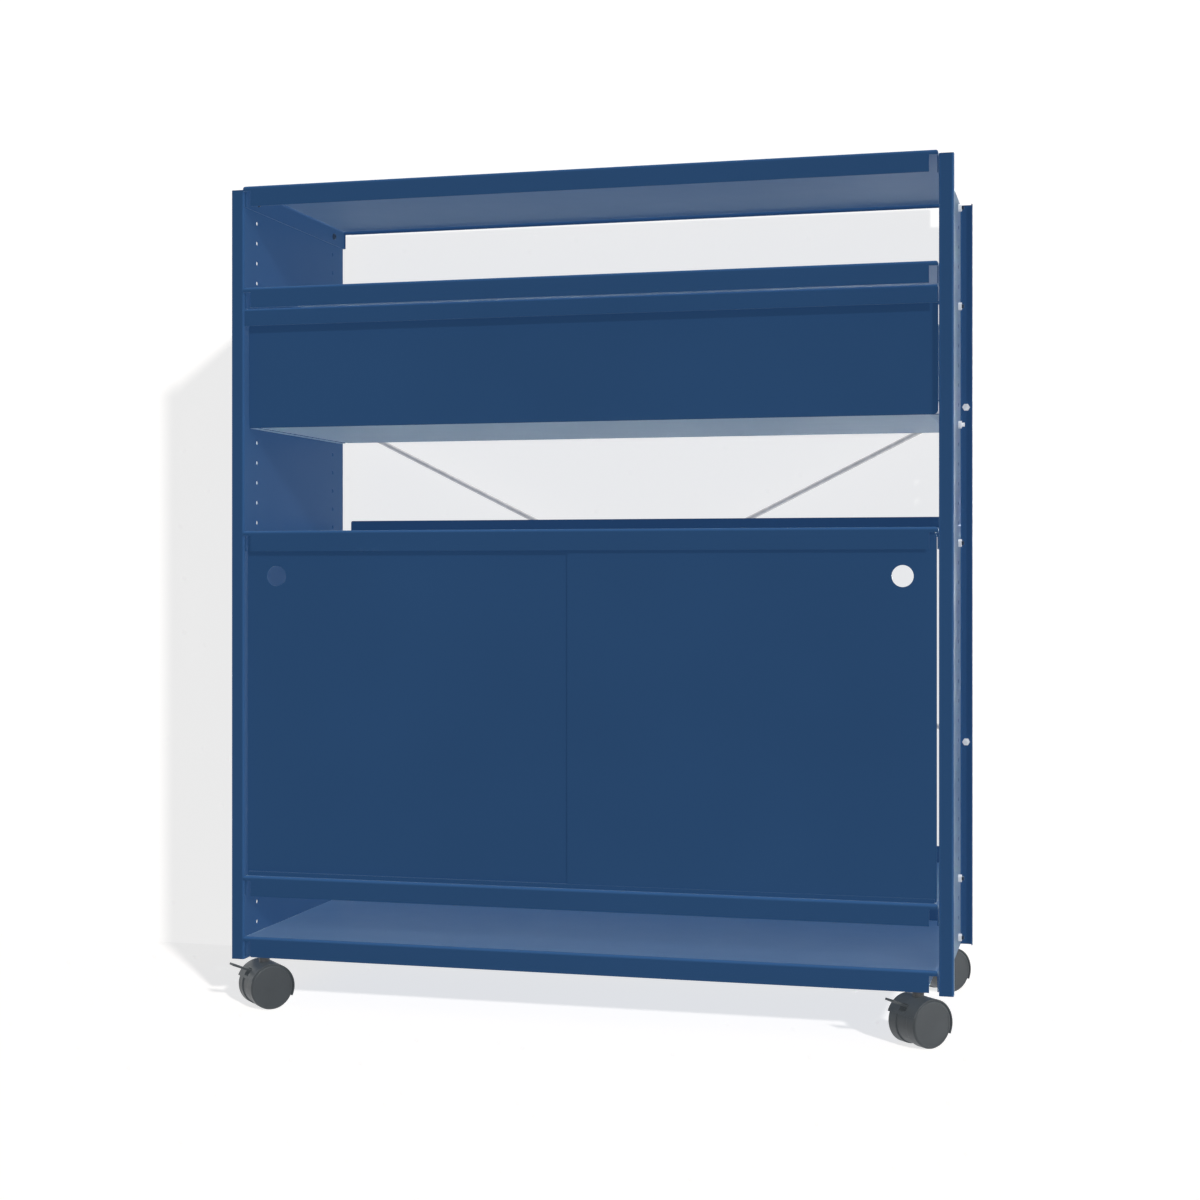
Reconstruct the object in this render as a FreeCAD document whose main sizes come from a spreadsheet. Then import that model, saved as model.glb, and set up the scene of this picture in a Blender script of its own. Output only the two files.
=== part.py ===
import FreeCAD
import Part
import Sketcher
import os
import re

# Highboard of folded sheet steel on castors, in millimetres.
# The origin is on the floor under the middle, +Z is up and the front faces -Y.

SIZES = {
    # side panels: the web, two flanges turned outwards and their lips
    "inner_width": 1018,
    "panel_depth": 392,
    "panel_height": 1140,
    "panel_lift": 70,
    "panel_flange": 20,
    "panel_lip": 12,
    "panel_sheet": 1.5,
    "panel_bend": 1.5,
    # the two columns of holes in each web
    "hole_pitch": 30,
    "hole_start": 18,
    "hole_margin": 12,
    "hole_bore": 6.5,
    "column_spacing": 296,
    # rows of holes from one shelf down to the next, and from the drawer's shelf to its runners
    "top_bay_row_count": 5,
    "middle_bay_row_count": 12,
    "bottom_bay_row_count": 3,
    "runner_row_count": 6,
    # shelves, each bolted at one row of holes
    "shelf_sheet": 1.5,
    "shelf_bend": 2.5,
    "shelf_fold": 30,
    "shelf_drop": 16.5,
    "shelf_proud": 4,
    "shelf_short": 2,
    "shelf_gap": 0.7,
    "fold_setback": 12,
    "notch_drop": 7,
    "notch_depth": 8,
    # stop rail along the rear edge of each shelf
    "rear_lip": 6.5,
    "rail_setback": 14.5,
    "lip_setback": 4,
    "rail_rise": 25,
    "rail_sheet": 1.5,
    "rail_corner": 3,
    # sliding doors and their tracks
    "door_sheet": 1.5,
    "door_gap": 2.2,
    "door_overlap": 26,
    "door_setback": 4,
    "door_spacing": 4,
    "door_corner": 2,
    "door_lift": 0.3,
    "door_headroom": 7,
    "finger_bore": 30,
    "finger_inset": 46.1,
    "finger_drop": 65,
    "track_wall": 1,
    "track_base": 1,
    "track_clear": 0.4,
    "track_short": 5,
    "sill_rise": 6,
    "head_drop": 16,
    # drawer
    "front_gap": 2,
    "front_headroom": 1.6,
    "front_height": 175,
    "front_sheet": 1.5,
    "front_bend": 1.5,
    "front_corner": 7,
    "grip_height": 25,
    "grip_reach": 16,
    "grip_proud": 1,
    "tray_sheet": 1.2,
    "tray_bend": 1.2,
    "tray_height": 140,
    "tray_depth": 360,
    "tray_lift": 0.8,
    # telescopic runners of three members
    "runner_length": 350,
    "runner_setback": 4.5,
    "runner_height": 20,
    "runner_depth": 13.5,
    "runner_sheet": 1.2,
    "runner_gap": 0.3,
    "runner_head": 2.6,
    # cross brace behind the rear flanges
    "brace_rise": 516,
    "rod_size": 8,
    "eye_size": 14,
    "rod_gap": 0.4,
    # channels welded under the bottom shelf, which carry the castors
    "bearer_sheet": 2,
    "bearer_width": 26,
    "bearer_flange": 4,
    "bearer_bend": 1,
    # twin wheel castors
    "castor_side": 28.5,
    "castor_inset": 10,
    "castor_trail": 2,
    "castor_heading": 225,
    "castor_width": 56,
    "wheel_size": 65,
    "wheel_edge": 3,
    "tread_edge": 1,
    "disc_size": 57,
    "disc_recess": 0.4,
    "wheel_gap": 0.5,
    "body_width": 21,
    "body_size": 62,
    "hood_gap": 0.6,
    "hood_wall": 1.6,
    "hood_front": 21,
    "hood_sweep": 185,
    "boss_rise": 0.3,
    "axle_size": 8,
    "axle_cover": 3,
    "stem_size": 16,
    "stud_size": 10,
    "stud_past": 1,
    "pin_size": 9,
    "pin_depth": 18,
    "seat_gap": 0.3,
    "running_clear": 0.05,
    "press_clear": 0.01,
    # brake pedals of the two front castors
    "hinge_ahead": 14,
    "hinge_above": 19,
    "barrel_size": 8,
    "lever_pin": 4,
    "lever_width": 13,
    "lever_sheet": 3,
    "lever_length": 42.5,
    "lever_pitch": 22.5,
    "lever_swing": 20,
    "lever_clear": 0.4,
    "pedal_width": 18,
    "pedal_length": 16,
    "pedal_corner": 3,
    # fasteners
    "screw_size": 6,
    "screw_length": 12,
    "screw_head": 10.5,
    "screw_crown": 3.2,
    "crown_edge": 1,
    "crown_flat": 7,
    "socket_size": 4,
    "socket_depth": 1.8,
    "flat_crown": 2.2,
    "nut_size": 10,
    "nut_height": 5,
    "thread_past": 1.5,
    "big_nut_size": 17,
    "big_nut_height": 8,
}

X_AXIS = FreeCAD.Vector(1, 0, 0)
Y_AXIS = FreeCAD.Vector(0, 1, 0)
Z_AXIS = FreeCAD.Vector(0, 0, 1)
NEAR = 0.001
OVERSHOOT = "1"

doc = FreeCAD.newDocument("highboard")
sheet = doc.addObject("Spreadsheet::Sheet", "Sizes")
for line, (name, value) in enumerate(SIZES.items(), 1):
    sheet.set(f"A{line}", name)
    sheet.set(f"B{line}", str(value))
    sheet.setAlias(f"B{line}", name)
doc.recompute()

subparts = []


# Words for places and sizes that several pieces share

ROW_SLACK = "0.01"
TOP_ROW = f"floor((panel_height - hole_start - hole_margin) / hole_pitch + {ROW_SLACK})"
DRAWER_ROW = f"({TOP_ROW} - top_bay_row_count)"
CABINET_ROW = f"({DRAWER_ROW} - middle_bay_row_count)"
FLOOR_ROW = "bottom_bay_row_count"
BASE_ROW = "0"
RUNNER_ROW = f"({DRAWER_ROW} - runner_row_count)"
HALF = "(inner_width / 2)"
FRONT = "(-panel_depth / 2)"
REAR = "(panel_depth / 2)"
COLUMN = "(column_spacing / 2)"
SHELF_FRONT = f"({FRONT} - shelf_proud)"
SHELF_REAR = f"({REAR} - shelf_short)"
SHELF_BEND = "(shelf_bend + shelf_sheet)"
SHELF_HALF = f"({HALF} - shelf_gap)"
RAIL_HALF = f"({HALF} - rail_setback)"
DOOR_FACE = f"({FRONT} + door_setback)"
CASTOR_Y = f"({REAR} - castor_inset)"
WHEEL_RADIUS = "(wheel_size / 2)"
HOOD_INNER = f"({WHEEL_RADIUS} + hood_gap)"
HOOD_OUTER = f"({HOOD_INNER} + hood_wall)"
BOSS_TOP = f"({HOOD_OUTER} + boss_rise)"


def row_height(row):
    """Height of a row of web holes above the floor."""
    return f"(panel_lift + hole_start + {row} * hole_pitch)"


def shelf_top(row):
    """Height of the top of the shelf bolted at a row."""
    return f"({row_height(row)} + shelf_drop)"


FRONT_TOP = f"({shelf_top(DRAWER_ROW)} - shelf_fold - front_headroom)"
PANEL_FACE = f"({FRONT} - grip_proud + grip_reach)"
TRAY_HALF = f"({HALF} - runner_depth)"
RUNNER_MIDDLE = f"({PANEL_FACE} + front_sheet + runner_setback + runner_length / 2)"
DOOR_FLOOR = f"({shelf_top(FLOOR_ROW)} + track_base + door_lift)"
DOOR_CEILING = f"({shelf_top(CABINET_ROW)} - shelf_sheet - track_base - door_headroom)"
BEARER_FOOT = f"({shelf_top(BASE_ROW)} - shelf_fold)"


# Helpers

def cells(text):
    """Turn plain size words into references to the sheet."""
    return re.sub(r"[a-z_]+", lambda word: f"Sizes.{word[0]}" if word[0] in SIZES else word[0], str(text))


def number(text):
    """Value of an expression in sizes."""
    return float(sheet.evalExpression(cells(text)))


def bind(item, prop, text):
    """Tie a property to the sheet."""
    item.setExpression(prop, cells(text))


def origin_item(body, role):
    """Plane or axis of a body's own origin."""
    return next(item for item in body.Origin.OriginFeatures if item.Role == role)


def new_body(label):
    """Empty body that becomes a sub-part."""
    body = doc.addObject("PartDesign::Body", label)
    body.Label = label
    return body


def keep(item, label):
    """Name a finished sub-part and list it for writing."""
    item.Label = label
    subparts.append(item)
    return item


def new_sketch(body, plane, lift="0"):
    """Sketch on an origin plane of a body, lifted along the plane's normal."""
    sketch = body.newObject("Sketcher::SketchObject", f"{body.Name}_sketch")
    sketch.AttachmentSupport = [(origin_item(body, plane), "")]
    sketch.MapMode = "FlatFace"
    bind(sketch, "AttachmentOffset.Base.z", lift)
    return sketch


def tie_point(sketch, piece, end, place):
    """Hold one point of a sketch at a place given in sizes."""
    for kind, text in zip(("DistanceX", "DistanceY"), place):
        index = sketch.addConstraint(Sketcher.Constraint(kind, -1, 1, piece, end, number(text)))
        bind(sketch, f"Constraints[{index}]", text)


def draw_outline(sketch, places):
    """Closed outline of straight lines through the given places."""
    spots = [FreeCAD.Vector(number(x), number(y), 0) for x, y in places]
    first = sketch.GeometryCount
    count = len(spots)
    for index in range(count):
        sketch.addGeometry(Part.LineSegment(spots[index], spots[(index + 1) % count]), False)
    for index in range(count):
        following = first + (index + 1) % count
        sketch.addConstraint(Sketcher.Constraint("Coincident", first + index, 2, following, 1))
    for index, place in enumerate(places):
        tie_point(sketch, first + index, 1, place)


def draw_rectangle(sketch, low, high):
    """Rectangle between two corners."""
    draw_outline(sketch, [low, (high[0], low[1]), high, (low[0], high[1])])


def draw_circle(sketch, place, diameter):
    """Circle of a diameter about a place."""
    centre = FreeCAD.Vector(number(place[0]), number(place[1]), 0)
    index = sketch.addGeometry(Part.Circle(centre, Z_AXIS, number(diameter) / 2), False)
    tie_point(sketch, index, 3, place)
    constraint = sketch.addConstraint(Sketcher.Constraint("Diameter", index, number(diameter)))
    bind(sketch, f"Constraints[{constraint}]", diameter)


def draw_hexagon(sketch, across):
    """Hexagon about the origin, by its width across flats."""
    corner = f"({across} / sqrt(3))"
    turns = range(0, 360, 60)
    draw_outline(sketch, [(f"{corner} * cos({turn})", f"{corner} * sin({turn})") for turn in turns])


def pad(body, sketch, length, both=False, back=False):
    """Pad a sketch by a length, from the middle or backwards if asked."""
    feature = body.newObject("PartDesign::Pad", f"{body.Name}_pad")
    feature.Profile = sketch
    feature.Midplane = both
    feature.Reversed = back
    bind(feature, "Length", length)
    doc.recompute()
    return feature


def pocket(body, sketch, depth, both=False, back=False):
    """Pocket a sketch and make sure that it took material away."""
    before = body.Shape.Volume
    feature = body.newObject("PartDesign::Pocket", f"{body.Name}_pocket")
    feature.Profile = sketch
    feature.Midplane = both
    feature.Reversed = back
    bind(feature, "Length", depth)
    doc.recompute()
    if body.Shape.Volume >= before:
        raise RuntimeError(f"a pocket in {body.Label} cut nothing")
    return feature


def revolve(body, places):
    """Turn a half outline, given as radius and height, about the body's Z axis."""
    sketch = new_sketch(body, "XZ_Plane")
    draw_outline(sketch, places)
    feature = body.newObject("PartDesign::Revolution", f"{body.Name}_turning")
    feature.Profile = sketch
    feature.ReferenceAxis = (sketch, ["V_Axis"])
    feature.Angle = 360
    doc.recompute()
    return feature


def round_edges(body, names, radius):
    """Round edges of the body by a radius."""
    base = body.Tip
    feature = body.newObject("PartDesign::Fillet", f"{body.Name}_round")
    feature.Base = (base, names)
    bind(feature, "Radius", radius)
    doc.recompute()
    return feature


def straight_edges(body, axis, spots):
    """Names of edges along axis 0, 1 or 2 that stand at the spots in the other two axes."""
    others = [index for index in range(3) if index != axis]
    wanted = [[number(text) for text in spot] for spot in spots]
    names = []
    for count, edge in enumerate(body.Shape.Edges, 1):
        box = edge.BoundBox
        spread = (box.XLength, box.YLength, box.ZLength)
        if any(spread[index] > NEAR for index in others):
            continue
        centre = box.Center
        place = [centre[index] for index in others]
        if any(abs(place[0] - spot[0]) < NEAR and abs(place[1] - spot[1]) < NEAR for spot in wanted):
            names.append(f"Edge{count}")
    return names


def round_rings(body, rings, radius):
    """Round the circular edges about Z that have a given radius and height."""
    wanted = [[number(text) for text in ring] for ring in rings]
    names = []
    for count, edge in enumerate(body.Shape.Edges, 1):
        if edge.Curve.TypeId != "Part::GeomCircle":
            continue
        size = edge.Curve.Radius
        height = edge.Curve.Center.z
        if any(abs(size - ring[0]) < NEAR and abs(height - ring[1]) < NEAR for ring in wanted):
            names.append(f"Edge{count}")
    round_edges(body, names, radius)


def place(item, x="0", y="0", z="0", turn="0"):
    """Stand an item at a place, turned about Z."""
    item.Placement = FreeCAD.Placement(FreeCAD.Vector(), FreeCAD.Rotation(Z_AXIS, 0))
    for axis, text in zip("xyz", (x, y, z)):
        bind(item, f"Placement.Base.{axis}", text)
    item.Placement.Rotation = FreeCAD.Rotation(Z_AXIS, number(turn))
    return item


def cylinder(label, diameter, length, middle, along):
    """Cylinder about a middle point, along a direction."""
    item = doc.addObject("Part::Cylinder", label)
    bind(item, "Radius", f"({diameter}) / 2")
    bind(item, "Height", length)
    half = FreeCAD.Vector(along).multiply(number(length) / 2)
    base = FreeCAD.Vector(*[number(text) for text in middle]).sub(half)
    item.Placement = FreeCAD.Placement(base, FreeCAD.Rotation(Z_AXIS, along))
    return item


def fuse(label, items):
    """Union of several items."""
    item = doc.addObject("Part::MultiFuse", label)
    item.Shapes = items
    item.Refine = True
    return item


def cut(label, base, tools):
    """Base with every tool taken away."""
    tool = tools[0] if len(tools) == 1 else fuse(f"{label}_tools", tools)
    item = doc.addObject("Part::Cut", label)
    item.Base = base
    item.Tool = tool
    item.Refine = True
    return item


def group(label, copies):
    """Like fasteners as one sub-part of separate solids, each a master at a placement."""
    solids = []
    for master, placement in copies:
        solid = master.Shape.Solids[0].copy()
        solid.Placement = placement.multiply(solid.Placement)
        solids.append(solid)
    item = doc.addObject("Part::Feature", label)
    item.Shape = Part.makeCompound(solids)
    item.Placement = FreeCAD.Placement()
    keep(item, label)


SIDES = (("left", -1, "180"), ("right", 1, "0"))
SHELVES = (("top", TOP_ROW), ("drawer", DRAWER_ROW), ("cabinet_top", CABINET_ROW),
           ("cabinet_floor", FLOOR_ROW), ("bottom", BASE_ROW))


# Side panels

def side_panel(side, sign, turn):
    """Folded panel with its web at x = 0 and its flanges turned away from the shelves."""
    body = new_body(f"side_panel_{side}")
    inner = "(panel_flange - panel_sheet)"
    section = new_sketch(body, "XY_Plane")
    draw_outline(section, [
        ("0", FRONT), ("panel_flange", FRONT), ("panel_flange", f"{FRONT} + panel_lip"),
        (inner, f"{FRONT} + panel_lip"), (inner, f"{FRONT} + panel_sheet"),
        ("panel_sheet", f"{FRONT} + panel_sheet"), ("panel_sheet", f"{REAR} - panel_sheet"),
        (inner, f"{REAR} - panel_sheet"), (inner, f"{REAR} - panel_lip"),
        ("panel_flange", f"{REAR} - panel_lip"), ("panel_flange", REAR), ("0", REAR)])
    pad(body, section, "panel_height")
    outside = [(x, y) for x in ("0", "panel_flange") for y in (FRONT, REAR)]
    inside = [(x, y) for x in ("panel_sheet", inner)
              for y in (f"{FRONT} + panel_sheet", f"{REAR} - panel_sheet")]
    round_edges(body, straight_edges(body, 2, outside), "panel_bend + panel_sheet")
    round_edges(body, straight_edges(body, 2, inside), "panel_bend")

    # the brace holes are in the rear flange, which lies at -Y before the left panel is turned
    flange = new_sketch(body, "XZ_Plane")
    for offset in ("-brace_rise / 2", "brace_rise / 2"):
        draw_circle(flange, ("panel_flange / 2", f"panel_height / 2 + {offset}"), "hole_bore")
    pocket(body, flange, "panel_depth", back=sign < 0)

    web = new_sketch(body, "YZ_Plane")
    for y in (f"-{COLUMN}", COLUMN):
        draw_circle(web, (y, "hole_start"), "hole_bore")
    first_holes = pocket(body, web, "4 * panel_sheet", both=True)
    rows = body.newObject("PartDesign::LinearPattern", f"{body.Name}_rows")
    rows.Originals = [first_holes]
    rows.Direction = (origin_item(body, "Z_Axis"), [""])
    bind(rows, "Length", f"{TOP_ROW} * hole_pitch")
    bind(rows, "Occurrences", f"{TOP_ROW} + 1")
    body.Tip = rows
    place(body, f"{sign} * {HALF}", "0", "panel_lift", turn)
    keep(body, f"side_panel_{side}")


# Shelves and their rails

def shelf(name, row):
    """Shelf folded down at the front, ends and rear, with open corners."""
    body = new_body(f"shelf_{name}")
    plan = new_sketch(body, "XY_Plane")
    draw_rectangle(plan, (f"-{SHELF_HALF}", SHELF_FRONT), (SHELF_HALF, SHELF_REAR))
    pad(body, plan, "shelf_fold", back=True)
    ends = [(f"-{SHELF_HALF}", "0"), (SHELF_HALF, "0")]
    edges = straight_edges(body, 0, [(SHELF_FRONT, "0"), (SHELF_REAR, "0")])
    round_edges(body, edges + straight_edges(body, 1, ends), SHELF_BEND)

    hollow = new_sketch(body, "XY_Plane", "-shelf_fold")
    low = (f"-{SHELF_HALF} + shelf_sheet", f"{SHELF_FRONT} + shelf_sheet")
    high = (f"{SHELF_HALF} - shelf_sheet", f"{SHELF_REAR} - shelf_sheet")
    draw_rectangle(hollow, low, high)
    pocket(body, hollow, "shelf_fold - shelf_sheet", back=True)
    edges = straight_edges(body, 0, [(low[1], "-shelf_sheet"), (high[1], "-shelf_sheet")])
    edges += straight_edges(body, 1, [(low[0], "-shelf_sheet"), (high[0], "-shelf_sheet")])
    round_edges(body, edges, "shelf_bend")

    # the front fold stops short of the ends, and its corner stays open below the bend
    fold_end = f"({SHELF_HALF} - fold_setback)"
    notches = new_sketch(body, "XY_Plane", "-shelf_fold")
    reach = (f"{SHELF_FRONT} - {OVERSHOOT}", f"{SHELF_FRONT} + notch_depth")
    draw_rectangle(notches, (fold_end, reach[0]), (f"{SHELF_HALF} + {OVERSHOOT}", reach[1]))
    draw_rectangle(notches, (f"-{SHELF_HALF} - {OVERSHOOT}", reach[0]), (f"-{fold_end}", reach[1]))
    pocket(body, notches, "shelf_fold - notch_drop", back=True)

    # only a low lip is left of the rear fold between its two ends
    lip_end = f"({SHELF_HALF} - lip_setback)"
    rear = new_sketch(body, "XY_Plane", "-shelf_fold")
    draw_rectangle(rear, (f"-{lip_end}", f"{SHELF_REAR} - {SHELF_BEND}"),
                   (lip_end, f"{SHELF_REAR} + {OVERSHOOT}"))
    pocket(body, rear, "shelf_fold - rear_lip", back=True)

    bolts = new_sketch(body, "YZ_Plane")
    for y in (f"-{COLUMN}", COLUMN):
        draw_circle(bolts, (y, "-shelf_drop"), "hole_bore")
    pocket(body, bolts, f"inner_width + {OVERSHOOT}", both=True)
    place(body, "0", "0", shelf_top(row))
    keep(body, f"shelf_{name}")


def rear_rail(name, row):
    """Stop rail fixed to the rear lip of a shelf."""
    body = new_body(f"rail_{name}")
    face = new_sketch(body, "XZ_Plane")
    draw_rectangle(face, (f"-{RAIL_HALF}", "-rear_lip"), (RAIL_HALF, "rail_rise"))
    pad(body, face, "rail_sheet", back=True)
    top = [(f"-{RAIL_HALF}", "rail_rise"), (RAIL_HALF, "rail_rise")]
    round_edges(body, straight_edges(body, 1, top), "rail_corner")
    place(body, "0", SHELF_REAR, shelf_top(row))
    keep(body, f"rail_{name}")


# Doors and tracks

def door(side, sign, face):
    """Sliding door with a finger hole near its upper outer corner."""
    body = new_body(f"door_{side}")
    inner_edge = f"{-sign} * door_overlap / 2"
    outer_edge = f"{sign} * ({SHELF_HALF} - door_gap)"
    finger = (f"{sign} * ({SHELF_HALF} - door_gap - finger_inset)",
              f"{shelf_top(CABINET_ROW)} - shelf_sheet - finger_drop")
    outline = new_sketch(body, "XZ_Plane")
    draw_rectangle(outline, (inner_edge, DOOR_FLOOR), (outer_edge, DOOR_CEILING))
    draw_circle(outline, finger, "finger_bore")
    pad(body, outline, "door_sheet", back=True)
    corners = [(x, z) for x in (inner_edge, outer_edge) for z in (DOOR_FLOOR, DOOR_CEILING)]
    round_edges(body, straight_edges(body, 1, corners), "door_corner")
    place(body, "0", face)
    keep(body, f"door_{side}")


def door_track(label, height, way):
    """Double groove for the doors, open upwards or downwards."""
    body = new_body(label)
    near_face = DOOR_FACE
    far_face = f"({DOOR_FACE} + door_spacing)"
    walls = [f"{near_face} - track_clear - track_wall", f"{near_face} - track_clear",
             f"{near_face} + door_sheet + track_clear", f"{far_face} - track_clear",
             f"{far_face} + door_sheet + track_clear",
             f"{far_face} + door_sheet + track_clear + track_wall"]
    base = f"{way} * track_base"
    crest = f"{way} * {height}"
    section = new_sketch(body, "YZ_Plane")
    draw_outline(section, [
        (walls[0], "0"), (walls[5], "0"), (walls[5], crest), (walls[4], crest), (walls[4], base),
        (walls[3], base), (walls[3], crest), (walls[2], crest), (walls[2], base), (walls[1], base),
        (walls[1], crest), (walls[0], crest)])
    pad(body, section, f"2 * ({SHELF_HALF} - track_short)", both=True)
    return keep(body, label)


# Drawer

def drawer_front():
    """Front panel whose top edge folds forwards and down into a grip strip."""
    body = new_body("drawer_front")
    strip = f"({FRONT} - grip_proud)"
    half = f"({HALF} - front_gap)"
    back = f"({PANEL_FACE} + front_sheet)"
    section = new_sketch(body, "YZ_Plane")
    draw_outline(section, [
        (PANEL_FACE, "-front_height"), (back, "-front_height"), (back, "0"), (strip, "0"),
        (strip, "-grip_height"), (f"{strip} + front_sheet", "-grip_height"),
        (f"{strip} + front_sheet", "-front_sheet"), (PANEL_FACE, "-front_sheet")])
    pad(body, section, f"2 * {half}", both=True)
    round_edges(body, straight_edges(body, 0, [(back, "0"), (strip, "0")]), "front_bend + front_sheet")
    inside = [(f"{strip} + front_sheet", "-front_sheet"), (PANEL_FACE, "-front_sheet")]
    round_edges(body, straight_edges(body, 0, inside), "front_bend")
    bottom = [(f"-{half}", "-front_height"), (half, "-front_height")]
    round_edges(body, straight_edges(body, 1, bottom), "front_corner")
    place(body, "0", "0", FRONT_TOP)
    keep(body, "drawer_front")


def drawer_tray():
    """Open tray behind the front panel."""
    body = new_body("drawer_tray")
    front = f"({PANEL_FACE} + front_sheet)"
    rear = f"({front} + tray_depth)"
    plan = new_sketch(body, "XY_Plane")
    draw_rectangle(plan, (f"-{TRAY_HALF}", front), (TRAY_HALF, rear))
    pad(body, plan, "tray_height")
    outer = straight_edges(body, 0, [(front, "0"), (rear, "0")])
    outer += straight_edges(body, 1, [(f"-{TRAY_HALF}", "0"), (TRAY_HALF, "0")])
    round_edges(body, outer, "tray_bend + tray_sheet")
    hollow = new_sketch(body, "XY_Plane", "tray_height")
    low = (f"-{TRAY_HALF} + tray_sheet", f"{front} + tray_sheet")
    high = (f"{TRAY_HALF} - tray_sheet", f"{rear} - tray_sheet")
    draw_rectangle(hollow, low, high)
    pocket(body, hollow, "tray_height - tray_sheet")
    inner = straight_edges(body, 0, [(low[1], "tray_sheet"), (high[1], "tray_sheet")])
    inner += straight_edges(body, 1, [(low[0], "tray_sheet"), (high[0], "tray_sheet")])
    round_edges(body, inner, "tray_bend")
    place(body, "0", "0", f"{FRONT_TOP} - front_height + tray_lift")
    keep(body, "drawer_tray")


# Runners, drawn for the right side with the web's inner face at x = 0

def runner_member(label, sign, turn, places, holes=False):
    """One channel of a telescopic runner."""
    body = new_body(label)
    section = new_sketch(body, "XZ_Plane")
    draw_outline(section, places)
    pad(body, section, "runner_length", both=True)
    if holes:
        bolts = new_sketch(body, "YZ_Plane")
        for y in (f"-{COLUMN}", COLUMN):
            draw_circle(bolts, (f"{sign} * ({y} - {RUNNER_MIDDLE})", "0"), "hole_bore")
        pocket(body, bolts, "4 * runner_sheet", both=True)
    place(body, f"{sign} * {HALF}", RUNNER_MIDDLE, row_height(RUNNER_ROW), turn)
    keep(body, label)


def channel(web_face, lip_face, half_height):
    """Outline of a channel whose web starts at one face and whose flanges end at the other."""
    way = 1 if number(web_face) > number(lip_face) else -1
    web_back = f"({web_face} - {way} * runner_sheet)"
    inside = f"({half_height} - runner_sheet)"
    return [(web_face, f"-{half_height}"), (web_face, half_height), (lip_face, half_height),
            (lip_face, inside), (web_back, inside), (web_back, f"-{inside}"),
            (lip_face, f"-{inside}"), (lip_face, f"-{half_height}")]


def runners(side, sign, turn):
    """Outer, middle and inner member of one runner."""
    lips = "(-runner_depth + runner_sheet + runner_gap)"
    outer_half = "(runner_height / 2)"
    middle_half = f"({outer_half} - runner_sheet - runner_gap)"
    inner_half = f"({middle_half} - runner_sheet - runner_gap)"
    middle_web = "(-runner_sheet - runner_head)"
    inner_lips = f"({middle_web} - runner_sheet - runner_gap)"
    runner_member(f"runner_outer_{side}", sign, turn, channel("0", lips, outer_half), holes=True)
    runner_member(f"runner_middle_{side}", sign, turn, channel(middle_web, lips, middle_half))
    runner_member(f"runner_inner_{side}", sign, turn, channel("(-runner_depth)", inner_lips, inner_half))


# Cross brace

BRACE_SPAN = "(inner_width + panel_flange)"
BRACE_LENGTH = f"sqrt({BRACE_SPAN} * {BRACE_SPAN} + brace_rise * brace_rise)"
BRACE_SLOPE = f"atan(brace_rise / {BRACE_SPAN})"
ROD_STEP = "(rod_size + rod_gap)"


def brace_rod(label, lean, layer):
    """Straight rod with an eye at each end that reaches forward to the rear flange."""
    middle = f"({layer} * {ROD_STEP} + rod_gap / 2 + rod_size / 2)"
    depth = f"({layer} * {ROD_STEP} + {ROD_STEP})"
    rod = cylinder(f"{label}_rod", "rod_size", BRACE_LENGTH, ("0", middle, "0"), X_AXIS)
    eyes = []
    bores = []
    for way in (-1, 1):
        spot = (f"{way} * {BRACE_LENGTH} / 2", f"{depth} / 2", "0")
        eyes.append(cylinder(f"{label}_eye", "eye_size", depth, spot, Y_AXIS))
        bores.append(cylinder(f"{label}_bore", "hole_bore", f"{depth} + 2 * {OVERSHOOT}", spot, Y_AXIS))
    item = cut(label, fuse(f"{label}_blank", [rod] + eyes), bores)
    centre = FreeCAD.Vector(0, number(REAR), number("panel_lift + panel_height / 2"))
    item.Placement = FreeCAD.Placement(centre, FreeCAD.Rotation(Y_AXIS, -lean * number(BRACE_SLOPE)))
    keep(item, label)


# Bearers

def bearer(side, sign):
    """Channel welded under the bottom shelf, whose floor carries two castors."""
    body = new_body(f"castor_bearer_{side}")
    top = "(shelf_fold - shelf_sheet)"
    wall = "(bearer_width / 2)"
    inside = f"({wall} - bearer_sheet)"
    edge = f"({wall} + bearer_flange)"
    step = f"({top} - bearer_sheet)"
    section = new_sketch(body, "XZ_Plane")
    draw_outline(section, [
        (f"-{edge}", top), (f"-{edge}", step), (f"-{wall}", step), (f"-{wall}", "0"),
        (wall, "0"), (wall, step), (edge, step), (edge, top),
        (inside, top), (inside, "bearer_sheet"), (f"-{inside}", "bearer_sheet"), (f"-{inside}", top)])
    pad(body, section, "panel_depth", both=True)
    ways = ("-", "")
    outside = [(f"{way}{wall}", "0") for way in ways] + [(f"{way}{inside}", top) for way in ways]
    round_edges(body, straight_edges(body, 1, outside), "bearer_bend + bearer_sheet")
    inner = [(f"{way}{inside}", "bearer_sheet") for way in ways] + [(f"{way}{wall}", step) for way in ways]
    round_edges(body, straight_edges(body, 1, inner), "bearer_bend")

    # the upper rear corner is cut away under the shelf's rear lip
    lip = new_sketch(body, "YZ_Plane")
    draw_rectangle(lip, (f"{SHELF_REAR} - {SHELF_BEND} - seat_gap", "shelf_fold - rear_lip - seat_gap"),
                   (f"{REAR} + {OVERSHOOT}", f"shelf_fold + {OVERSHOOT}"))
    pocket(body, lip, f"2 * {edge} + {OVERSHOOT}", both=True)
    floor = new_sketch(body, "XY_Plane")
    for y in (f"-{CASTOR_Y}", CASTOR_Y):
        draw_circle(floor, ("0", y), "stud_size + 2 * running_clear")
    pocket(body, floor, "4 * bearer_sheet", both=True)
    place(body, f"{sign} * ({HALF} - castor_side)", "0", BEARER_FOOT)
    keep(body, f"castor_bearer_{side}")


# Castors, drawn with the axle's middle at the origin, the axle along Y and the pedal towards +X

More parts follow.
